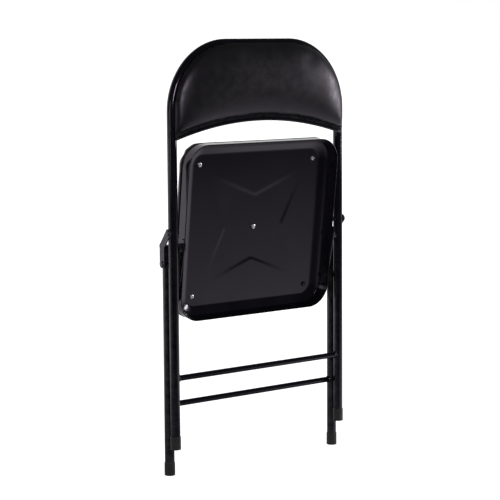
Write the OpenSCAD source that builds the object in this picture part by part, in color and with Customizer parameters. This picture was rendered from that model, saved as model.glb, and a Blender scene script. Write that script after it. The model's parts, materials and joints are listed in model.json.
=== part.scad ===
// Steel folding chair, folded flat and standing on its feet.
// X runs across the chair, the front of the backrest faces -Y, and Z is up.
// The origin lies on the floor under the middle of the folded chair.

/* [Frame tube] */
// Outside diameter of the frame and leg tubes
tube_d = 20; // [18:0.5:22]
// Wall thickness of the tubes
tube_wall = 1.2; // [1:0.1:2]
// Overall width of the bent frame tube
frame_w = 455; // [440:1:470]
// Height of the bent frame, from its feet to its top
frame_h = 829; // [815:1:845]
// Radius of the two top bends, on the tube's centre line
bend_r = 135; // [120:1:145]
// How far the rear feet stand below the front feet when folded
foot_drop = 57; // [50:1:65]
// Distance of the frame's plane in front of the origin
frame_y = -18; // [-25:0.5:0]
// Distance of the rear legs behind the frame's plane
leg_y = 21.5; // [21:0.5:24]
// Height of each crossbar above its own feet
bar_h = 146; // [120:1:170]
// Diameter of the crossbars
bar_d = 12; // [10:0.5:14]

/* [Pivots, as heights above the front feet] */
// Link on the frame tube
link_pivot_h = 443; // [440:1:446]
// Seat on the frame tube
seat_pivot_h = 408; // [406:1:410]
// Rear leg on the link
leg_link_h = 379; // [377:1:381]
// Seat on the rear leg
leg_seat_h = 320; // [318:1:322]
// Height of the top of the rear leg tubes
leg_top_h = 414; // [408:1:416]
// Diameter of the hinge studs
stud_d = 8; // [7:0.5:8]
// Diameter of the link rivets
rivet_d = 6; // [5:0.5:6]
// Diameter of the clearance hole in the leg for the link's rivet
open_pivot_d = 14.8; // [14:0.2:15.6]

/* [Seat] */
// Half width of the seat pan at its rim
pan_half_w = 195; // [190:0.5:196]
// Half depth of the seat, front to back, at the pan's rim
pan_half_l = 182; // [175:0.5:190]
// Depth of the pan, from its flat plate to its rim
pan_depth = 28.5; // [26:0.5:30]
// Sheet thickness of the pan
sheet = 1.2; // [1:0.1:1.5]
// Corner radius of the pan's rim
pan_corner = 48; // [40:1:56]
// Lean of the folded seat, its front edge nearest the front of the chair
seat_tilt = 6.9; // [5:0.1:8]
// Height of the seat's centre screw above the front feet
seat_h = 440; // [436:1:444]
// Distance of the pan's plate behind the frame's plane, at the centre screw
seat_y = 18.3; // [17:0.1:20]
// Half spacing of the corner screws across the seat
screw_x = 149; // [140:1:155]
// Half spacing of the corner screws from front to back
screw_z = 137.5; // [130:0.5:145]
// Thickness of the cushion above the pan's plate
cushion_t = 30; // [24:1:34]
// How far the cushion's wrapped edge comes down past the pan's plate
cushion_lip = 5; // [3:0.5:5.5]

/* [Backrest] */
// Height of the pad's lower corners
pad_low_h = 636; // [626:1:646]
// Rise of the pad's arched lower edge
pad_arch = 33; // [20:1:40]
// Thickness of the pad at its middle
pad_t = 17; // [12:1:22]
// How far the steel back panel shows below the pad
panel_show = 8; // [5:1:12]

/* [Hidden] */
$fn = 64;

steel = [0.1, 0.1, 0.11];
bright = [0.75, 0.76, 0.78];
vinyl = [0.16, 0.16, 0.17];
plastic = [0.06, 0.06, 0.06];
wood = [0.55, 0.42, 0.28];

LEFT = -1;
RIGHT = 1;
gap = 0.05;             // clearance between pieces that are fixed together
run = 0.06;             // radial clearance of a running pivot
tube_r = tube_d / 2;
tube_x = frame_w / 2 - tube_r;
inner_x = tube_x - tube_r;
outer_x = tube_x + tube_r;
foot_floor = 4;         // plastic under the end of a tube
foot_len = 27;
foot_r = tube_r + 1;
frame_top = frame_h - tube_r;

// Pivot points as [y behind the frame's plane, height above the front feet]
A = [0, link_pivot_h];
B = [0, seat_pivot_h];
C = [leg_y, leg_seat_h];
D = [leg_y, leg_link_h];

link_t = 2.5;
link_x = outer_x + 0.6;
link_r = 8.5;
link_elbow = [leg_y, leg_link_h + 36];
head_t = 2;

bracket_t = 2.4;
bracket_x = pan_half_w + 0.9;
bracket_r = 12;
spacer_r = 7.5;
stud_head_r = 4.4;

// Pan profile as [inset from the rim across the seat, depth below the plate]
pan_ledge = 6.6;
pan_profile = [[25, 0], [23, 0.15], [21, 0.8], [10.5, 5.5], [9.2, 6.3], [7.8, pan_ledge],
    [6.6, pan_ledge + 0.4], [5.8, pan_ledge + 1.4], [5.4, pan_ledge + 3],
    [0.6, pan_depth - 1.2], [0.5, pan_depth]];
inset_ratio = 0.74;     // insets front and back are smaller than at the sides
corner_steps = 8;

// ---- places ------------------------------------------------------------

// Moves children from the frame's own plane and front feet to the chair's origin
module place() {
    translate([0, frame_y, foot_drop]) children();
}

// The seat's own frame: Z towards its front edge, -Y out of its underside
module seat_place() {
    place() translate([0, seat_y, seat_h]) rotate([seat_tilt, 0, 0]) children();
}

// Turns children drawn along +Z to point outwards, to the given side, at a pivot [y, z]
module side_place(side, at) {
    place() translate([0, at[0], at[1]]) rotate([0, 90 * side, 0]) children();
}

// A ring or cylinder that lies across the chair between two distances from its middle
module side_disc(side, at, x1, x2, r, bore = 0) {
    side_place(side, at) difference() {
        translate([0, 0, x1]) cylinder(r = r, h = x2 - x1);
        if (bore > 0) translate([0, 0, x1 - 1]) cylinder(r = bore, h = x2 - x1 + 2);
    }
}

// ---- lofted skins ------------------------------------------------------

// Closed solid through rings of equally many points. Each end is a ladder of quads, whose
// rungs join the first half of the ring to its second half.
module loft(rings) {
    n = len(rings[0]);
    m = len(rings);
    sides = [for (k = [0:m - 2], i = [0:n - 1])
        each [[k * n + i, k * n + (i + 1) % n, (k + 1) * n + i],
            [k * n + (i + 1) % n, (k + 1) * n + (i + 1) % n, (k + 1) * n + i]]];
    near_end = [for (i = [0:n / 2 - 2]) [n - 1 - i, n - 2 - i, i + 1, i]];
    far = (m - 1) * n;
    far_end = [for (i = [0:n / 2 - 2]) [far + i, far + i + 1, far + n - 2 - i, far + n - 1 - i]];
    polyhedron(points = [for (r = rings) each r], faces = concat(sides, near_end, far_end));
}

// One corner of a rounded rectangle, from a start angle, in the X-Z plane
function corner(cx, cz, r, from) = [for (i = [0:corner_steps - 1])
    let (a = from + 90 * i / (corner_steps - 1)) [cx + r * cos(a), cz + r * sin(a)]];

// Rounded rectangle at a height y, going round so that loft() faces outwards along -Y to +Y
function rect_ring(hx, hz, r, y) = [for (p = concat(
    corner(hx - r, hz - r, r, 0), corner(-hx + r, hz - r, r, 90),
    corner(-hx + r, -hz + r, r, 180), corner(hx - r, -hz + r, r, 270))) [-p[0], y, p[1]]];

// Seat outline at an inset from the rim: every part of the seat follows it
function seat_ring(inset, y) = rect_ring(pan_half_w - inset, pan_half_l - inset * inset_ratio,
    max(pan_corner - inset * 0.8, 4), y);

// ---- tubes -------------------------------------------------------------

// The bent frame's path as a solid rod of radius r, from the feet's floor upwards
module bent_rod(r, extra = 0) {
    leg = frame_top - bend_r - foot_floor;
    for (s = [LEFT, RIGHT]) translate([s * tube_x, 0, foot_floor - extra])
        cylinder(r = r, h = leg + extra);
    for (s = [LEFT, RIGHT]) translate([s * (tube_x - bend_r), 0, frame_top - bend_r])
        rotate([90, 0, 0]) rotate([0, 0, s > 0 ? 0 : 90])
            rotate_extrude(angle = 90) translate([bend_r, 0]) circle(r = r);
    translate([bend_r - tube_x, 0, frame_top]) rotate([0, 90, 0])
        cylinder(r = r, h = 2 * (tube_x - bend_r));
}

// Drill through a tube's wall across the chair, centred at x and a pivot [y, z]
module drilling(x, at, d, len) {
    translate([x, at[0], at[1]]) rotate([0, 90, 0]) cylinder(d = d, h = len, center = true);
}

module main_tube() {
    color(steel) place() difference() {
        bent_rod(tube_r);
        bent_rod(tube_r - tube_wall, 1);
        for (s = [LEFT, RIGHT]) {
            drilling(s * tube_x, A, rivet_d + 2 * gap, 2 * tube_d);
            drilling(s * inner_x, B, stud_d + 2 * gap, tube_r);
        }
    }
}

// Rod between the two tubes of a frame, its ends shaped to the tubes, with a ring of weld
module crossbar(y, h) {
    color(steel) place() translate([0, y, h]) difference() {
        union() {
            rotate([0, 90, 0]) cylinder(d = bar_d, h = 2 * tube_x - tube_d, center = true);
            for (s = [LEFT, RIGHT]) translate([s * (inner_x - 1), 0, 0]) rotate([0, 90 * s, 0])
                cylinder(r1 = bar_d / 2, r2 = bar_d / 2 + 1.6, h = 2.6);
        }
        for (s = [LEFT, RIGHT]) translate([s * tube_x, 0, 0])
            cylinder(r = tube_r + gap, h = 3 * bar_d, center = true);
    }
}

module front_crossbar() { crossbar(0, bar_h); }
module rear_crossbar() { crossbar(leg_y, bar_h - foot_drop); }

// Plastic cup foot over the end of a tube
module foot(side, y, h) {
    color(plastic) place() translate([side * tube_x, y, h]) difference() {
        rotate_extrude() polygon([[0, 0], [foot_r - 1, 0], [foot_r - 0.3, 0.3], [foot_r, 1],
            [foot_r, foot_len - 1.2], [foot_r - 0.4, foot_len], [0, foot_len]]);
        translate([0, 0, foot_floor - gap]) cylinder(r = tube_r + gap, h = foot_len);
    }
}

module front_foot_left() { foot(LEFT, 0, 0); }
module front_foot_right() { foot(RIGHT, 0, 0); }
module rear_foot_left() { foot(LEFT, leg_y, -foot_drop); }
module rear_foot_right() { foot(RIGHT, leg_y, -foot_drop); }

// Straight rear leg tube, drilled for its seat stud and, larger, for the link's rivet
module rear_leg(side) {
    low = foot_floor - foot_drop;
    color(steel) place() difference() {
        translate([side * tube_x, leg_y, low]) cylinder(r = tube_r, h = leg_top_h - low);
        translate([side * tube_x, leg_y, low - 1])
            cylinder(r = tube_r - tube_wall, h = leg_top_h - low + 2);
        drilling(side * inner_x, C, stud_d + 2 * gap, tube_r);
        drilling(side * outer_x, D, open_pivot_d, tube_d);
    }
}

module rear_leg_left() { rear_leg(LEFT); }
module rear_leg_right() { rear_leg(RIGHT); }

// Plastic plug in the top of a rear leg tube
module leg_plug(side) {
    plug_r = tube_r - tube_wall - gap;
    color(plastic) place() translate([side * tube_x, leg_y, leg_top_h]) rotate_extrude()
        polygon([[0, -12], [plug_r - 1, -12], [plug_r, -11], [plug_r, gap], [tube_r, gap],
            [tube_r, 1.2], [tube_r - 1.2, 2.4], [tube_r - 4, 3.2], [0, 3.6]]);
}

module leg_plug_left() { leg_plug(LEFT); }
module leg_plug_right() { leg_plug(RIGHT); }

// ---- hinges ------------------------------------------------------------

// Domed rivet head on the end of a shank, drawn from x outwards by its thickness
module dome_head(r, t) {
    rotate_extrude() polygon([[0, 0], [r, 0], [r, t * 0.35], [r * 0.8, t * 0.8], [r * 0.45, t], [0, t]]);
}

// Rivet that holds a link on the frame tube
module link_rivet(side) {
    inner_end = inner_x - 2;
    color(steel) side_place(side, A) {
        translate([0, 0, inner_end]) cylinder(d = rivet_d, h = link_x + link_t + 0.3 - inner_end);
        translate([0, 0, link_x + link_t + 0.3]) dome_head(6.4, head_t);
        translate([0, 0, inner_end]) cylinder(r = 5, h = 2 - gap);
    }
}

module link_rivet_left() { link_rivet(LEFT); }
module link_rivet_right() { link_rivet(RIGHT); }

module link_washer(side) {
    color(bright) side_disc(side, A, outer_x + gap, link_x - gap, 7.5, rivet_d / 2 + gap);
}

module link_washer_left() { link_washer(LEFT); }
module link_washer_right() { link_washer(RIGHT); }

// Stud fixed in a tube's inner wall at a pivot, with its head inside the pan
module hinge_stud(side, at, head_x) {
    color(steel) side_place(side, at) {
        translate([0, 0, head_x]) cylinder(d = stud_d, h = inner_x + tube_wall + 2.5 - head_x);
        translate([0, 0, head_x]) mirror([0, 0, 1]) dome_head(stud_head_r, head_t);
    }
}

// Where the two studs' heads sit inside the pan's skirt
seat_head_x = pan_half_w - 4.6;
leg_head_x = pan_half_w - 7.4;

module seat_stud_left() { hinge_stud(LEFT, B, seat_head_x); }
module seat_stud_right() { hinge_stud(RIGHT, B, seat_head_x); }
module leg_stud_left() { hinge_stud(LEFT, C, leg_head_x); }
module leg_stud_right() { hinge_stud(RIGHT, C, leg_head_x); }

module stud_spacer(side, at) {
    color(bright) side_disc(side, at, bracket_x + bracket_t + 0.3, inner_x - 0.3, spacer_r, stud_d / 2 + gap);
}

module seat_spacer_left() { stud_spacer(LEFT, B); }
module seat_spacer_right() { stud_spacer(RIGHT, B); }
module leg_spacer_left() { stud_spacer(LEFT, C); }
module leg_spacer_right() { stud_spacer(RIGHT, C); }

// Flat bar with round lobes at its ends, in a side view, through two points [y, z]
module bar_outline(p, q, r) {
    half = r - 0.8;
    translate(p) circle(r = r);
    translate(q) circle(r = r);
    d = q - p;
    translate(p) rotate(atan2(d[1], d[0])) translate([0, -half]) square([norm(d), 2 * half]);
}

// Plate standing in the side plane, from its side view [y, z], between two distances from the middle
module side_plate(side, x, t) {
    place() translate([side > 0 ? x : -x - t, 0, 0]) rotate([90, 0, 90]) linear_extrude(t) children();
}

// Cranked outer link between the frame tube and the rear leg
module link(side) {
    color(steel) difference() {
        side_plate(side, link_x, link_t) {
            bar_outline(A, link_elbow, link_r);
            bar_outline(link_elbow, D, link_r);
        }
        side_place(side, A) translate([0, 0, link_x - 1]) cylinder(d = rivet_d + 2 * run, h = link_t + 2);
        side_place(side, D) translate([0, 0, link_x - 1]) cylinder(d = rivet_d + 2 * gap, h = link_t + 2);
    }
}

module link_left() { link(LEFT); }
module link_right() { link(RIGHT); }

// Rivet through the link's lower end, free in the leg's larger hole
module link_pin(side) {
    color(steel) side_place(side, D) {
        translate([0, 0, tube_x + 3]) cylinder(d = rivet_d, h = link_x + link_t + gap - tube_x - 3);
        translate([0, 0, link_x + link_t + gap]) dome_head(6.4, head_t);
    }
}

module link_pin_left() { link_pin(LEFT); }
module link_pin_right() { link_pin(RIGHT); }

// Steel bracket outside the pan's skirt that carries both of the seat's pivots
module seat_bracket(side) {
    over = [-1.5, 9];
    color(steel) difference() {
        side_plate(side, bracket_x, bracket_t) {
            bar_outline(B + over, C - over, bracket_r);
            translate(B + over - [bracket_r - 1.5, 0]) square([2 * bracket_r - 3, bracket_r - 1.5]);
        }
        for (p = [B, C]) side_place(side, p) translate([0, 0, bracket_x - 1])
            cylinder(d = stud_d + 2 * run, h = bracket_t + 2);
    }
}

module seat_bracket_left() { seat_bracket(LEFT); }
module seat_bracket_right() { seat_bracket(RIGHT); }

// ---- seat --------------------------------------------------------------

// Direction across the sheet at a profile point, from its neighbours, towards the outside
function across(p, i) = let (d = p[min(i + 1, len(p) - 1)] - p[max(i - 1, 0)]) [-d[1], d[0]] / norm(d);

// The outside of the sheet at each profile point
pan_outside = [for (i = [0:len(pan_profile) - 1]) pan_profile[i] + sheet * across(pan_profile, i)];

module seat_pan() {
    inside = [for (p = pan_profile) seat_ring(p[0], -p[1])];
    outside = [for (i = [len(pan_outside) - 1:-1:0]) seat_ring(pan_outside[i][0], -pan_outside[i][1])];
    color(steel) difference() {
        seat_place() loft(concat(inside, outside));
        seat_place() for (p = screw_points) translate([p[0], 0, p[1]]) rotate([90, 0, 0])
            cylinder(d = screw_d + 0.6, h = 10, center = true);
        for (s = [LEFT, RIGHT], p = [B, C]) side_place(s, p) translate([0, 0, pan_half_w - 8])
            cylinder(d = stud_d + 0.8, h = 12);
    }
}

board_t = 9;
board_inset = 10;

// Board inside the cushion, which the seat screws bite into
module seat_board() {
    y = sheet + gap;
    color(wood) difference() {
        seat_place() loft([seat_ring(board_inset, y), seat_ring(board_inset, y + board_t)]);
        seat_place() for (p = screw_points) translate([p[0], 0, p[1]]) rotate([-90, 0, 0])
            cylinder(d = screw_d + 2 * gap, h = 2 * board_t, center = true);
    }
}

// Padded cushion: its skin wraps the board and comes down round the pan's edge
module seat_cushion() {
    low = sheet + gap;
    cavity = board_inset - 0.2;
    top = cushion_t;
    lip_inset = 3.2;
    color(vinyl) seat_place() loft([
        seat_ring(cavity, low + board_t + 0.2), seat_ring(cavity, low), seat_ring(lip_inset, 1 - cushion_lip),
        seat_ring(1.2, -cushion_lip), seat_ring(0.6, 1.5 - cushion_lip),
        seat_ring(0.6, top - 18), seat_ring(1.6, top - 12), seat_ring(4.5, top - 6.5),
        seat_ring(9, top - 2.5), seat_ring(16, top - 0.5), seat_ring(24, top)]);
}

screw_d = 5;
screw_points = [[-screw_x, screw_z], [screw_x, screw_z], [0, 0], [-screw_x, -screw_z], [screw_x, -screw_z]];

// Pan-head screw with a cross recess, its head on a surface facing -Y
module pan_screw(len) {
    head_r = 5.4;
    head_h = 3;
    difference() {
        union() {
            rotate([90, 0, 0]) rotate_extrude() polygon([[0, gap], [head_r, gap], [head_r, 1],
                [head_r * 0.86, 2.1], [head_r * 0.55, head_h - 0.15], [0, head_h]]);
            rotate([-90, 0, 0]) translate([0, 0, -0.5]) cylinder(d = screw_d, h = len);
        }
        for (a = [0, 90]) rotate([0, a, 0]) translate([-2.6, -head_h - 1, -0.5]) cube([5.2, 2.6, 1]);
    }
}

module seat_screw(i) {
    color(bright) seat_place() translate([screw_points[i][0], 0, screw_points[i][1]])
        rotate([0, 17 * i, 0]) pan_screw(9);
}

module seat_screw_front_left() { seat_screw(0); }
module seat_screw_front_right() { seat_screw(1); }
module seat_screw_centre() { seat_screw(2); }
module seat_screw_rear_left() { seat_screw(3); }
module seat_screw_rear_right() { seat_screw(4); }

// ---- backrest ----------------------------------------------------------

arc_steps = 12;
edge_steps = 2 * arc_steps + 1;     // as many points below as on the two arcs above

// Height of the arched lower edge at x, for a half width and a corner height
function arch(x, half, low) = low + pad_arch * (1 - pow(x / half, 2));

// Outline that follows the bent frame above and the arch below, at an inset from the tube's centre line
function back_ring(inset, low, y) = let (half = tube_x - inset, r = bend_r - inset, top = frame_top - inset)
    concat(
        [for (i = [0:arc_steps]) let (a = 90 * i / arc_steps)
            [-(half - r + r * cos(a)), y, top - r + r * sin(a)]],
        [for (i = [0:arc_steps]) let (a = 90 + 90 * i / arc_steps)
            [-(r - half + r * cos(a)), y, top - r + r * sin(a)]],
        [for (i = [0:edge_steps]) let (x = half * (1 - 2 * i / edge_steps))
            [x, y, arch(x, half, low + inset)]]);

panel_back = -tube_r - gap;
panel_front = panel_back - sheet;
back_board_t = 4;
pad_inset = -1;

// Stamped steel panel welded across the front of the frame tube
module back_panel() {
    low = pad_low_h - panel_show;
    color(steel) place() difference() {
        loft([back_ring(1, low, panel_front), back_ring(1, low, panel_back)]);
        for (p = back_screw_points) translate([p[0], 0, p[1]]) rotate([90, 0, 0])
            cylinder(d = screw_d + 0.6, h = 2 * tube_d);
    }
}

// Board inside the pad, which the back screws bite into
module back_board() {
    front = panel_front - gap - back_board_t;
    color(wood) place() difference() {
        loft([back_ring(8, pad_low_h, front), back_ring(8, pad_low_h, panel_front - gap)]);
        for (p = back_screw_points) translate([p[0], 0, p[1]]) rotate([90, 0, 0])
            cylinder(d = screw_d + 2 * gap, h = 2 * tube_d);
    }
}

// Padded vinyl cover over the front of the board
module back_pad() {
    y = panel_front - gap;
    front = y - pad_t;
    color(vinyl) place() loft([
        back_ring(22, pad_low_h, front), back_ring(14, pad_low_h, front + 1),
        back_ring(8, pad_low_h, front + 3),
        back_ring(4, pad_low_h, front + 6.5), back_ring(pad_inset, pad_low_h, front + 10),
        back_ring(pad_inset, pad_low_h, y), back_ring(7.8, pad_low_h, y),
        back_ring(7.8, pad_low_h, y - back_board_t - 0.2)]);
}

back_screw_points = [for (s = [LEFT, RIGHT], h = [pad_low_h + 48, pad_low_h + 128]) [s * 150, h]];

// Screws from behind the panel into the pad's board
module back_screws() {
    color(bright) place() for (p = back_screw_points)
        translate([p[0], panel_back, p[1]]) rotate([0, 0, 180]) pan_screw(sheet + back_board_t);
}

// ---- the chair ---------------------------------------------------------

main_tube();
front_crossbar();
front_foot_left();
front_foot_right();
back_panel();
back_board();
back_pad();
back_screws();
link_rivet_left();
link_rivet_right();
link_washer_left();
link_washer_right();
seat_stud_left();
seat_stud_right();
seat_spacer_left();
seat_spacer_right();
seat_pan();
seat_board();
seat_cushion();
seat_bracket_left();
seat_bracket_right();
seat_screw_front_left();
seat_screw_front_right();
seat_screw_centre();
seat_screw_rear_left();
seat_screw_rear_right();
rear_leg_left();
rear_leg_right();
rear_crossbar();
rear_foot_left();
rear_foot_right();
leg_plug_left();
leg_plug_right();
leg_stud_left();
leg_stud_right();
leg_spacer_left();
leg_spacer_right();
link_left();
link_right();
link_pin_left();
link_pin_right();
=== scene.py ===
# The looks of a folded steel folding chair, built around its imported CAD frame.
import json
import math

import bmesh
import bpy
from mathutils import Matrix, Vector


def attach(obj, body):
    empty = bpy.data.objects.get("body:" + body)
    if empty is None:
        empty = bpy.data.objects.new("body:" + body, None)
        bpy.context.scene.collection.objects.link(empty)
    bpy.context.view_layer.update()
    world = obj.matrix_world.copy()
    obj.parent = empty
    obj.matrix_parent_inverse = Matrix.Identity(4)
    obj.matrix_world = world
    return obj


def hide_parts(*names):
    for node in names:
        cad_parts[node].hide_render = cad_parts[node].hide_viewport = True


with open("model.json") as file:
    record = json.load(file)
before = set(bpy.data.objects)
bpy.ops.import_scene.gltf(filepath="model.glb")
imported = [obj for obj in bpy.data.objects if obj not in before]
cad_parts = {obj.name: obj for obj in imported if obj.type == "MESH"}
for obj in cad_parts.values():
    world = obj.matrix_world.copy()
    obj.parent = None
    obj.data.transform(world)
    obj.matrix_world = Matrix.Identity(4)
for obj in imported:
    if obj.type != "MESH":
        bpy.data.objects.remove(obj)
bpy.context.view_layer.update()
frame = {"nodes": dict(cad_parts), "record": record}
nodes = frame["nodes"]
MM = 0.001

# The main sizes of the CAD part, in millimetres
TUBE_R = 10.0
FRAME_Y = -18.0
FOOT_DROP = 57.0
TUBE_X = 217.5
FRAME_TOP = 819.0
BEND_R = 135.0
LEG_Y = 21.5
BAR_H = 146.0
BAR_R = 6.0
PAN_W = 195.0
PAN_L = 182.0
PAN_CORNER = 48.0
PAN_DEPTH = 28.5
INSET_RATIO = 0.74
SHEET = 1.2
SEAT_TILT = 6.9
SEAT_Y = 18.3
SEAT_H = 440.0
CUSHION_T = 30.0
CUSHION_LIP = 5.0
PAD_LOW = 636.0
PAD_ARCH = 33.0
PAD_T = 17.0
PANEL_SHOW = 8.0
PAD_OVER = 1.5
CUSHION_OVER = 0.4
PANEL_FRONT = -TUBE_R - 0.05 - SHEET

PLACE = Matrix.Translation((0, FRAME_Y, FOOT_DROP))
SEAT = PLACE @ Matrix.Translation((0, SEAT_Y, SEAT_H)) @ Matrix.Rotation(math.radians(SEAT_TILT), 4, "X")
METRES = Matrix.Scale(MM, 4)
COOL = (0.92, 0.80, 1.0)      # the faint violet of gloss black seen under studio light


# ---- materials -------------------------------------------------------------

class Shader:
    """A Principled material and short ways to wire its nodes."""

    def __init__(self, name, color, roughness, metallic=0.0, ior=1.5, tint=(1, 1, 1)):
        self.mat = bpy.data.materials.new(name)
        self.mat.use_nodes = True
        self.tree = self.mat.node_tree
        self.bsdf = self.tree.nodes["Principled BSDF"]
        self.bsdf.inputs["Metallic"].default_value = metallic
        self.bsdf.inputs["IOR"].default_value = ior
        self.bsdf.inputs["Base Color"].default_value = (*color, 1)
        self.bsdf.inputs["Roughness"].default_value = roughness
        self.bsdf.inputs["Specular Tint"].default_value = (*tint, 1)
        self.coords = self.tree.nodes.new("ShaderNodeTexCoord").outputs["Object"]
        self.normal = None

    def node(self, kind, **values):
        made = self.tree.nodes.new(kind)
        for key, value in values.items():
            made.inputs[key.replace("_", " ")].default_value = value
        return made

    def link(self, out, into):
        self.tree.links.new(out, into)

    def noise(self, scale, detail=3.0, stretch=None):
        made = self.node("ShaderNodeTexNoise", Scale=scale, Detail=detail)
        source = self.coords
        if stretch:
            mapping = self.node("ShaderNodeMapping", Scale=stretch)
            self.link(source, mapping.inputs["Vector"])
            source = mapping.outputs["Vector"]
        self.link(source, made.inputs["Vector"])
        return made.outputs["Fac"]

    def cells(self, scale):
        made = self.node("ShaderNodeTexVoronoi", Scale=scale)
        self.link(self.coords, made.inputs["Vector"])
        return made.outputs["Distance"]

    def spread(self, source, low, high, from_low=0.3, from_high=0.7):
        made = self.node("ShaderNodeMapRange", From_Min=from_low, From_Max=from_high, To_Min=low, To_Max=high)
        self.link(source, made.inputs["Value"])
        return made.outputs["Result"]

    def math(self, operation, first, second):
        made = self.tree.nodes.new("ShaderNodeMath")
        made.operation = operation
        self.link(first, made.inputs[0])
        self.link(second, made.inputs[1])
        return made.outputs["Value"]

    def two_colors(self, factor, first, second):
        ramp = self.tree.nodes.new("ShaderNodeValToRGB")
        ramp.color_ramp.elements[0].color = (*first, 1)
        ramp.color_ramp.elements[0].position = 0.3
        ramp.color_ramp.elements[1].color = (*second, 1)
        ramp.color_ramp.elements[1].position = 0.72
        self.link(factor, ramp.inputs["Fac"])
        self.link(ramp.outputs["Color"], self.bsdf.inputs["Base Color"])
        return ramp.outputs["Color"]

    def bump(self, height, distance, strength=1.0):
        made = self.node("ShaderNodeBump", Strength=strength, Distance=distance)
        self.link(height, made.inputs["Height"])
        if self.normal:
            self.link(self.normal, made.inputs["Normal"])
        self.normal = made.outputs["Normal"]
        self.link(self.normal, self.bsdf.inputs["Normal"])


def enamel_material():
    """Gloss black enamel: slight orange peel, uneven gloss and rubbed edges."""
    s = Shader("black_enamel_look", (0.012, 0.012, 0.013), 0.25, ior=1.45, tint=COOL)
    color = s.two_colors(s.noise(26), (0.0032, 0.0029, 0.0050), (0.0052, 0.0048, 0.0080))
    edge = s.spread(s.tree.nodes.new("ShaderNodeNewGeometry").outputs["Pointiness"], 0.0, 1.0, 0.55, 0.66)
    rub = s.math("MULTIPLY", edge, s.spread(s.noise(70), 0.0, 1.0))
    mix = s.tree.nodes.new("ShaderNodeMix")
    mix.data_type = "RGBA"
    s.link(rub, mix.inputs["Factor"])
    colors = [socket for socket in mix.inputs if socket.type == "RGBA"]
    s.link(color, colors[0])
    colors[1].default_value = (0.045, 0.045, 0.047, 1)
    s.link([socket for socket in mix.outputs if socket.type == "RGBA"][0], s.bsdf.inputs["Base Color"])
    s.link(s.spread(s.noise(14, 5), 0.10, 0.16), s.bsdf.inputs["Roughness"])
    s.bump(s.noise(420, 2), 0.00003, 0.12)
    return s.mat


def vinyl_material():
    """Black upholstery vinyl: fine pebble grain over soft creases."""
    s = Shader("black_vinyl_look", (0.016, 0.016, 0.017), 0.42, ior=1.45, tint=COOL)
    s.two_colors(s.noise(34, 4), (0.007, 0.007, 0.0077), (0.012, 0.012, 0.0128))
    s.link(s.spread(s.noise(60, 4), 0.30, 0.40), s.bsdf.inputs["Roughness"])
    s.bump(s.noise(38, 4), 0.0004, 0.12)
    s.bump(s.cells(900), 0.00012, 0.4)
    return s.mat


def zinc_material():
    s = Shader("zinc_look", (0.72, 0.73, 0.75), 0.28, metallic=1.0)
    s.two_colors(s.noise(300), (0.62, 0.63, 0.65), (0.80, 0.81, 0.83))
    s.link(s.spread(s.noise(500, 4), 0.22, 0.38), s.bsdf.inputs["Roughness"])
    s.bump(s.noise(1500), 0.00004, 0.5)
    return s.mat


def plastic_material():
    """Moulded black plastic with a fine spark-eroded texture, scuffed on the feet."""
    s = Shader("foot_plastic_look", (0.02, 0.02, 0.02), 0.5)
    s.two_colors(s.noise(90, 5), (0.014, 0.014, 0.014), (0.034, 0.034, 0.035))
    s.link(s.spread(s.noise(40, 5), 0.40, 0.60), s.bsdf.inputs["Roughness"])
    s.bump(s.noise(1400, 2), 0.0001, 0.5)
    return s.mat


def board_material():
    s = Shader("board_look", (0.42, 0.31, 0.2), 0.8)
    s.two_colors(s.noise(400, 4, (1, 1, 3)), (0.32, 0.22, 0.13), (0.52, 0.39, 0.26))
    s.bump(s.noise(700, 4), 0.0003, 0.6)
    return s.mat


LOOKS = {
    "black_enamel": enamel_material(),
    "black_vinyl": vinyl_material(),
    "zinc": zinc_material(),
    "foot_plastic": plastic_material(),
    "board": board_material(),
}
for part in frame["record"]["subparts"]:
    cad = nodes[part["node"]]
    cad.data.materials.clear()
    cad.data.materials.append(LOOKS[part["material_slot"]])


# ---- pieces ----------------------------------------------------------------

def add_piece(name, verts, faces, slot, body, place=PLACE, smooth=True):
    """A mesh piece, drawn in millimetres in its own place, that rides on a body."""
    mesh = bpy.data.meshes.new(name)
    to_row = METRES @ place
    mesh.from_pydata([to_row @ Vector(v) for v in verts], [], faces)
    mesh.update()
    piece = bpy.data.objects.new(name, mesh)
    bpy.context.scene.collection.objects.link(piece)
    bm = bmesh.new()
    bm.from_mesh(mesh)
    bmesh.ops.recalc_face_normals(bm, faces=bm.faces)
    bm.to_mesh(mesh)
    bm.free()
    for face in mesh.polygons:
        face.use_smooth = smooth
    mesh.materials.append(LOOKS[slot])
    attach(piece, body)
    return piece


def skin(rings, closed_ends=True):
    """Vertices and quads through rings of equally many points."""
    n = len(rings[0])
    verts = [p for ring in rings for p in ring]
    faces = [(k * n + i, k * n + (i + 1) % n, (k + 1) * n + (i + 1) % n, (k + 1) * n + i)
             for k in range(len(rings) - 1) for i in range(n)]
    if closed_ends:
        for k in (0, len(rings) - 1):
            middle = len(verts)
            verts.append(tuple(sum(p[a] for p in rings[k]) / n for a in range(3)))
            faces += [(k * n + i, k * n + (i + 1) % n, middle) for i in range(n)]
    return verts, faces


def rounded_rect(hx, hz, r, corner=16, side=28):
    """Points round a rectangle with rounded corners, as (x, z)."""
    points = []
    turns = [(1, 1, 0), (-1, 1, 90), (-1, -1, 180), (1, -1, 270)]
    for k, (sx, sz, start) in enumerate(turns):
        arc = [(sx * (hx - r) + r * math.cos(math.radians(start + 90 * i / corner)),
                sz * (hz - r) + r * math.sin(math.radians(start + 90 * i / corner)))
               for i in range(corner + 1)]
        points += arc
        nx, nz, turn = turns[(k + 1) % 4]
        after = (nx * (hx - r) + r * math.cos(math.radians(turn)),
                 nz * (hz - r) + r * math.sin(math.radians(turn)))
        points += [tuple(arc[-1][a] + (after[a] - arc[-1][a]) * i / side for a in (0, 1))
                   for i in range(1, side)]
    return points


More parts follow.
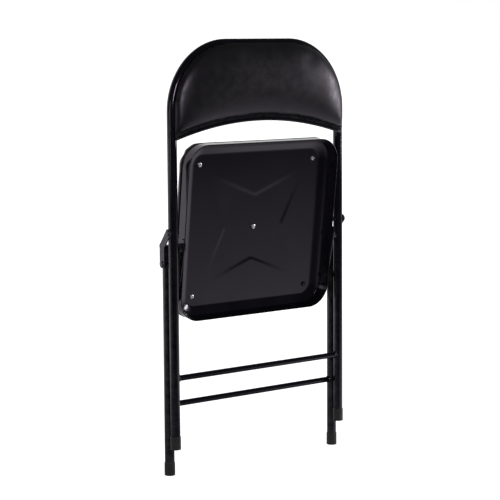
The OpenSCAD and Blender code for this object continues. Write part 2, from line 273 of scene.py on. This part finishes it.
def seat_outline(inset):
    return rounded_rect(PAN_W - inset, PAN_L - inset * INSET_RATIO, max(PAN_CORNER - inset * 0.8, 4))


def smoothstep(x):
    x = min(max(x, 0.0), 1.0)
    return x * x * (3 - 2 * x)


def lerp_table(table, x):
    """Value at x of a curve given by points, first column rising."""
    for (x0, y0), (x1, y1) in zip(table, table[1:]):
        if x <= x1:
            return y0 + (y1 - y0) * max(x - x0, 0) / (x1 - x0)
    return table[-1][1]


# ---- seat pan --------------------------------------------------------------

# The pressed star: points of one quarter, and how deep and how soft its edge is
STAR_TIP = (126.0, 117.0)
STAR_SIDE = 74.0
STAR_END = 67.0
STAR_DEPTH = 0.8
STAR_EDGE = 4.5


def star_depth(x, z):
    """How far the pressed star sinks at a point of the plate."""
    x, z = abs(x), abs(z)
    tip_x, tip_z = STAR_TIP

    def side_of(px, pz, qx, qz):
        dx, dz = qx - px, qz - pz
        return ((x - px) * dz - (z - pz) * dx) / math.hypot(dx, dz)

    inside = min(side_of(0, STAR_END, tip_x, tip_z), -side_of(STAR_SIDE, 0, tip_x, tip_z))
    fade = 1 - smoothstep((math.hypot(x, z) - 70) / 90)
    return STAR_DEPTH * fade * smoothstep(0.5 + inside / STAR_EDGE)


# Where the pan's outer wall begins, behind its rim, and how far it lies inside the outline
WALL_FROM = 6.6
WALL_INSET = 0.3


def pan_profile():
    """The inside of the pan as (inset, depth), from the plate to the rim, with a soft fold at each turn."""
    return [(33, 0), (31, 0.1), (29, 0.7), (25, 2.1), (19, 4.3), (15.2, 5.6), (13.6, 6.1), (12.4, 6.4),
            (11.6, 6.5), (9.4, 6.7), (8.7, 7.1), (8.2, 7.8), (7.9, 9.0), (7.2, 11), (5.2, 16.5), (2.6, 23.6),
            (1.7, 26.0), (1.3, 27.2), (0.8, 27.9), (0.4, 28.3)]


def build_pan():
    profile = pan_profile()
    inner = seat_outline(profile[0][0])
    steps = 56
    front, back = [], []
    for k in range(1, steps):
        t = k / steps
        ring = [(x * t, z * t) for x, z in inner]
        front.append([(x, star_depth(x, z), z) for x, z in ring])
        back.append([(x, SHEET + star_depth(x, z), z) for x, z in ring])
    for i, (inset, depth) in enumerate(profile):
        before, after = profile[max(i - 1, 0)], profile[min(i + 1, len(profile) - 1)]
        along = Vector((before[0] - after[0], after[1] - before[1])).normalized()
        front.append([(x, -depth, z) for x, z in seat_outline(inset)])
        # Past the ledge the sheet is folded over, and its outer wall comes straight back to the cushion
        if depth > WALL_FROM:
            back.append([(x, -depth, z) for x, z in seat_outline(WALL_INSET)])
        else:
            back.append([(x, SHEET * along[0] - depth, z) for x, z in seat_outline(inset - SHEET * along[1])])
    verts, faces = skin(front + back[::-1])
    pan = add_piece("seat_pan_pressed", verts, faces, "black_enamel", "seat", SEAT)
    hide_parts("seat_pan")


# ---- upholstery ------------------------------------------------------------

CLOTH_FRAMES = 20
SOFT_CAP = 9.0


def inflate(piece, pinned, cap, voxel=5.0, pressure=4.0):
    """Remesh a closed form, let it swell as cloth, and keep each point within cap of where it was."""
    scene = bpy.context.scene
    remesh = piece.modifiers.new("Remesh", "REMESH")
    remesh.mode = "VOXEL"
    remesh.voxel_size = voxel * MM
    apply_modifiers(piece)
    start = [v.co.copy() for v in piece.data.vertices]
    group = piece.vertex_groups.new(name="held")
    group.add([v.index for v in piece.data.vertices if pinned(v.co)], 1.0, "REPLACE")
    cloth = piece.modifiers.new("Cloth", "CLOTH")
    cloth.settings.quality = 6
    cloth.settings.mass = 0.3
    cloth.settings.tension_stiffness = 30
    cloth.settings.compression_stiffness = 30
    cloth.settings.bending_stiffness = 3
    cloth.settings.use_pressure = True
    cloth.settings.uniform_pressure_force = pressure
    cloth.settings.effector_weights.gravity = 0
    cloth.settings.vertex_group_mass = "held"
    cloth.collision_settings.use_collision = False
    cloth.point_cache.frame_start = 1
    cloth.point_cache.frame_end = CLOTH_FRAMES
    for number in range(1, CLOTH_FRAMES + 1):
        scene.frame_set(number)
    apply_modifiers(piece)
    for v, rest in zip(piece.data.vertices, start):
        moved = v.co - rest
        if moved.length > cap * MM:
            v.co = rest + moved.normalized() * cap * MM
    piece.vertex_groups.clear()
    scene.frame_set(1)


def apply_modifiers(piece):
    graph = bpy.context.evaluated_depsgraph_get()
    mesh = bpy.data.meshes.new_from_object(piece.evaluated_get(graph))
    piece.modifiers.clear()
    piece.data = mesh


def relax(piece, rounds, keep=None):
    """Smooth the voxel steps away, except where keep says a point stays."""
    bm = bmesh.new()
    bm.from_mesh(piece.data)
    verts = [v for v in bm.verts if keep is None or not keep(v.co)]
    for _ in range(rounds):
        bmesh.ops.smooth_vert(bm, verts=verts, factor=0.5, use_axis_x=True, use_axis_y=True, use_axis_z=True)
    bm.to_mesh(piece.data)
    bm.free()


def finish_soft(piece):
    piece.modifiers.new("Subdivision", "SUBSURF").levels = 1
    piece.modifiers["Subdivision"].render_levels = 1
    apply_modifiers(piece)
    for face in piece.data.polygons:
        face.use_smooth = True
    piece.data.materials.clear()
    piece.data.materials.append(LOOKS["black_vinyl"])


def seat_inset(x, z):
    """Roughly how far a point lies inside the seat's outline."""
    dx, dz = abs(x) - (PAN_W - PAN_CORNER), abs(z) - (PAN_L - PAN_CORNER)
    if dx > 0 and dz > 0:
        return PAN_CORNER - math.hypot(dx, dz)
    return min(PAN_W - abs(x), (PAN_L - abs(z)) / INSET_RATIO)


def build_cushion():
    top = CUSHION_T
    shape = [(60, -CUSHION_LIP), (20, -CUSHION_LIP), (5, -CUSHION_LIP), (2.6, -CUSHION_LIP + 0.6),
             (1.9, -CUSHION_LIP + 2), (1.9, top - 20), (2.6, top - 15), (5, top - 10.5), (9, top - 7.5),
             (16, top - 5.2), (28, top - 4), (60, top - 2.5)]
    rings = [[(x, y, z) for x, z in seat_outline(inset)] for inset, y in shape]
    verts, faces = skin(rings)
    cushion = add_piece("seat_cushion_vinyl", verts, faces, "black_vinyl", "seat", SEAT)
    to_seat = (METRES @ SEAT).inverted()
    inflate(cushion, lambda co: (to_seat @ co)[1] < 3, cap=SOFT_CAP)
    relax(cushion, 4)
    relax(cushion, 12, keep=lambda co: (to_seat @ co)[1] < 12)
    # The underside lies on the pan, whose outside these points follow
    floor_line = [(0, -CUSHION_LIP), (9, -CUSHION_LIP), (11, -3.6), (20.5, 0.7), (23, 1.3), (400, 1.4)]
    out = METRES @ SEAT
    points = [to_seat @ v.co for v in cushion.data.vertices]
    wide = (PAN_W + CUSHION_OVER) / max(p.x for p in points)
    long = (PAN_L + CUSHION_OVER) / max(p.z for p in points)
    for v, (x, y, z) in zip(cushion.data.vertices, points):
        x, z = x * wide, z * long
        if y < 2.0:
            inset = seat_inset(x, z)
            y = max(y, lerp_table(floor_line, inset) + (0.25 if inset > 4 else 0))
        corner = smoothstep((min(abs(x) / PAN_W, abs(z) / PAN_L) - 0.72) / 0.2)
        edge = smoothstep((10 - seat_inset(x, z)) / 10)
        if corner and edge and -4.5 < y < 14:
            gather = math.sin(math.atan2(abs(z) - PAN_L + PAN_CORNER, abs(x) - PAN_W + PAN_CORNER) * 17)
            push = 0.35 * gather * corner * edge * smoothstep((14 - y) / 12)
            x += push * math.copysign(1, x)
            z += push * math.copysign(1, z)
        v.co = out @ Vector((x, y, z))
    finish_soft(cushion)
    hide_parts("seat_cushion")


def back_outline(inset, low, arc=26, edge=64):
    """The backrest's outline as (x, z): two bends and a top above, an arched edge below."""
    half, r, top = TUBE_X - inset, BEND_R - inset, FRAME_TOP - inset
    turns = [math.radians(90 * i / arc) for i in range(arc + 1)]
    points = [(half - r + r * math.cos(a), top - r + r * math.sin(a)) for a in turns]
    flat = 2 * (half - r)
    points += [(half - r - flat * i / 14, top) for i in range(1, 14)]
    points += [(-x, z) for x, z in points[:arc + 1][::-1]]
    low_edge = low + inset
    points += [(-half, top - r + (low_edge - top + r) * i / 10) for i in range(1, 10)]
    points += [(-half + 2 * half * i / edge, low_edge + PAD_ARCH * (1 - (1 - 2 * i / edge) ** 2))
               for i in range(edge + 1)]
    points += [(half, low_edge + (top - r - low_edge) * i / 10) for i in range(1, 10)]
    return points


def build_back_pad():
    back = PANEL_FRONT - 0.05
    front = back - PAD_T
    shape = [(40, back), (9, back), (1.6, back), (0, back - 1.5), (-0.5, back - 4.5), (1.2, front + 8.5),
             (5, front + 5.6), (11, front + 4.0), (22, front + 3.0), (40, front + 2.4)]
    rings = [[(x, y, z) for x, z in back_outline(inset, PAD_LOW)] for inset, y in shape]
    verts, faces = skin(rings, closed_ends=False)
    n = len(rings[0])
    # The arched form has no middle that sees its whole edge, so its ends are closed as polygons
    faces += [tuple(range(n)), tuple(range(len(verts) - n, len(verts)))]
    pad = add_piece("back_pad_vinyl", verts, faces, "black_vinyl", "frame")
    to_frame = (METRES @ PLACE).inverted()
    inflate(pad, lambda co: (to_frame @ co)[1] > back - 4, cap=SOFT_CAP)
    relax(pad, 24, keep=lambda co: (to_frame @ co)[1] > back - 1)
    out = METRES @ PLACE
    points = [to_frame @ v.co for v in pad.data.vertices]
    wide = (TUBE_X + PAD_OVER) / max(p.x for p in points)
    high = FRAME_TOP + PAD_OVER - max(p.z for p in points)
    for v, (x, y, z) in zip(pad.data.vertices, points):
        v.co = out @ Vector((x * wide, min(y, back), z + high * smoothstep((z - PAD_LOW) / 120)))
    finish_soft(pad)
    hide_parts("back_pad")


# ---- steel details ---------------------------------------------------------

def tube_along(name, path, radius, slot, body, place=PLACE, sides=12, closed=False, flatten=1.0):
    """A bead of round section along a path of points."""
    points = [Vector(p) for p in path]
    rings = []
    for i, p in enumerate(points):
        if closed:
            ahead, behind = points[(i + 1) % len(points)], points[i - 1]
        else:
            ahead, behind = points[min(i + 1, len(points) - 1)], points[max(i - 1, 0)]
        along = (ahead - behind).normalized()
        side = Vector((0, 1, 0)) if abs(along.y) < 0.9 else Vector((1, 0, 0))
        u = along.cross(side).normalized()
        w = along.cross(u)
        rings.append([tuple(p + radius * (u * math.cos(a) * flatten + w * math.sin(a)))
                      for a in (2 * math.pi * k / sides for k in range(sides))])
    if closed:
        n = sides
        verts = [p for ring in rings for p in ring]
        m = len(rings)
        faces = [(k * n + i, k * n + (i + 1) % n, ((k + 1) % m) * n + (i + 1) % n, ((k + 1) % m) * n + i)
                 for k in range(m) for i in range(n)]
    else:
        verts, faces = skin(rings)
    return add_piece(name, verts, faces, slot, body, place)


def build_back_hem():
    """The panel's lower edge, rolled over into a bead."""
    half = TUBE_X - TUBE_R * 0.4
    low = PAD_LOW - PANEL_SHOW + 3.2
    y = PANEL_FRONT + 0.4
    path = []
    for i in range(81):
        x = half * (1 - 2 * i / 80)
        path.append((x, y, low + PAD_ARCH * (1 - (x / half) ** 2)))
    tube_along("back_panel_hem", path, 2.6, "black_enamel", "frame", flatten=1.35)


def build_pan_rim():
    """The pan's edge, rolled over into a thin bead all round."""
    path = [(x, -PAN_DEPTH + 1.0, z) for x, z in seat_outline(0.6)]
    tube_along("seat_pan_rim", path, 1.15, "black_enamel", "seat", SEAT, sides=10, closed=True)


def build_weld(name, side, y, h, body):
    """A fillet of weld round the end of a crossbar, laid in small overlapping ripples."""
    path = []
    steps = 72
    radius = BAR_R + 0.7
    for i in range(steps):
        a = 2 * math.pi * i / steps
        ripple = 0.25 * math.sin(14 * a)
        across = (radius + ripple) * math.cos(a)
        up = (radius + ripple) * math.sin(a)
        # The saddle where the bar meets the round tube
        saddle = math.sqrt(max(TUBE_R ** 2 - min(abs(across), TUBE_R - 0.5) ** 2, 0.0))
        path.append((side * (TUBE_X - saddle - 0.5), y + across, h + up))
    tube_along(name, path, 1.25, "black_enamel", body, sides=8, closed=True)


for label, side in (("left", -1), ("right", 1)):
    build_weld("weld_front_" + label, side, 0, BAR_H, "frame")
    build_weld("weld_rear_" + label, side, LEG_Y, BAR_H - FOOT_DROP, "rear_legs")

build_pan()
build_pan_rim()
build_cushion()
build_back_pad()
build_back_hem()

# The plates get soft edges
for cad_name in ("link_left", "link_right", "seat_bracket_left", "seat_bracket_right", "back_panel"):
    bevel = nodes[cad_name].modifiers.new("Bevel", "BEVEL")
    bevel.width = 0.0005
    bevel.segments = 2
    bevel.limit_method = "ANGLE"
    bevel.angle_limit = math.radians(50)


# ---- studio ----------------------------------------------------------------

def add_floor():
    near, far, wide = -2.7, 14.0, 12.0
    mesh = bpy.data.meshes.new("floor")
    mesh.from_pydata([(-wide, near, 0), (wide, near, 0), (wide, far, 0), (-wide, far, 0)], [], [(0, 1, 2, 3)])
    floor = bpy.data.objects.new("floor", mesh)
    bpy.context.scene.collection.objects.link(floor)
    s = Shader("floor_look", (0.9, 0.9, 0.9), 0.9)
    s.bsdf.inputs["Specular IOR Level"].default_value = 0.0
    s.bsdf.inputs["Emission Color"].default_value = (1, 1, 1, 1)
    # A sweep with painted light and shade: its colour is painted darker towards the front as painted shade,
    # and it glows behind the chair, to the right in front, and wherever it is seen directly
    split = s.tree.nodes.new("ShaderNodeSeparateXYZ")
    s.link(s.coords, split.inputs["Vector"])
    x, y = split.outputs["X"], split.outputs["Y"]
    s.link(s.spread(y, 0.03, 0.85, -1.0, 0.3), s.bsdf.inputs["Base Color"])
    glow = s.math("MULTIPLY", s.spread(x, 0.0, 1.0, 0.15, 0.5), s.spread(y, 0.0, 0.85, -2.31, -0.3))
    glow = s.math("MAXIMUM", glow, s.spread(y, 0.0, 1.1, 0.3, 1.3))
    glow = s.math("MAXIMUM", glow, s.tree.nodes.new("ShaderNodeLightPath").outputs["Is Camera Ray"])
    s.link(glow, s.bsdf.inputs["Emission Strength"])
    mesh.materials.append(s.mat)


def add_area(name, place, target, size, energy):
    light = bpy.data.lights.new(name, "AREA")
    light.shape = "RECTANGLE"
    light.size, light.size_y = size
    light.energy = energy
    lamp = bpy.data.objects.new(name, light)
    bpy.context.scene.collection.objects.link(lamp)
    lamp.location = place
    lamp.rotation_euler = (Vector(target) - Vector(place)).to_track_quat("-Z", "Y").to_euler()


def add_world():
    """White behind the chair, darker towards the front, and plain white where the camera sees it."""
    world = bpy.data.worlds.new("studio")
    bpy.context.scene.world = world
    world.use_nodes = True
    tree = world.node_tree
    back = tree.nodes["Background"]
    coords = tree.nodes.new("ShaderNodeTexCoord")
    split = tree.nodes.new("ShaderNodeSeparateXYZ")
    tree.links.new(coords.outputs["Generated"], split.inputs["Vector"])
    strength = tree.nodes.new("ShaderNodeLightPath").outputs["Is Camera Ray"]
    for axis, start, end, low, high in (("Y", 0.50, 0.78, 0.06, 1.3), ("X", 0.70, 0.95, 0.06, 0.3)):
        ramp = tree.nodes.new("ShaderNodeMapRange")
        for socket, value in (("From Min", start), ("From Max", end), ("To Min", low), ("To Max", high)):
            ramp.inputs[socket].default_value = value
        tree.links.new(split.outputs[axis], ramp.inputs["Value"])
        pick = tree.nodes.new("ShaderNodeMath")
        pick.operation = "MAXIMUM"
        tree.links.new(strength, pick.inputs[0])
        tree.links.new(ramp.outputs["Result"], pick.inputs[1])
        strength = pick.outputs["Value"]
    tree.links.new(strength, back.inputs["Strength"])
    back.inputs["Color"].default_value = (1, 1, 1, 1)


def add_camera():
    place = Vector((-2.2292, -2.8357 + FRAME_Y * MM, 0.8216 + FOOT_DROP * MM))
    azimuth, down, roll = (math.radians(a) for a in (-37.89, 6.80, -0.41))
    back = Vector((math.sin(azimuth) * math.cos(down), -math.cos(azimuth) * math.cos(down), math.sin(down)))
    right = Vector((math.cos(azimuth), math.sin(azimuth), 0))
    up = back.cross(right)
    rolled = right * math.cos(roll) + up * math.sin(roll)
    rolled_up = up * math.cos(roll) - right * math.sin(roll)
    data = bpy.data.cameras.new("camera")
    data.sensor_width = 36
    data.lens = 125.59
    camera = bpy.data.objects.new("camera", data)
    bpy.context.scene.collection.objects.link(camera)
    turn = Matrix((rolled, rolled_up, back)).transposed().to_4x4()
    camera.matrix_world = Matrix.Translation(place) @ turn
    bpy.context.scene.camera = camera


bpy.context.scene.view_settings.view_transform = "Standard"
add_world()
add_floor()
add_area("right_light", (3.4, -1.6, 0.9), (0, 0, 0.7), (0.5, 1.0), 34)
add_area("front_light", (-0.9, -2.75, 1.45), (0, 0, 0.75), (0.5, 0.7), 20)
add_area("left_light", (-3.3, -0.7, 0.9), (0, 0, 0.7), (0.4, 1.0), 6)
add_camera()
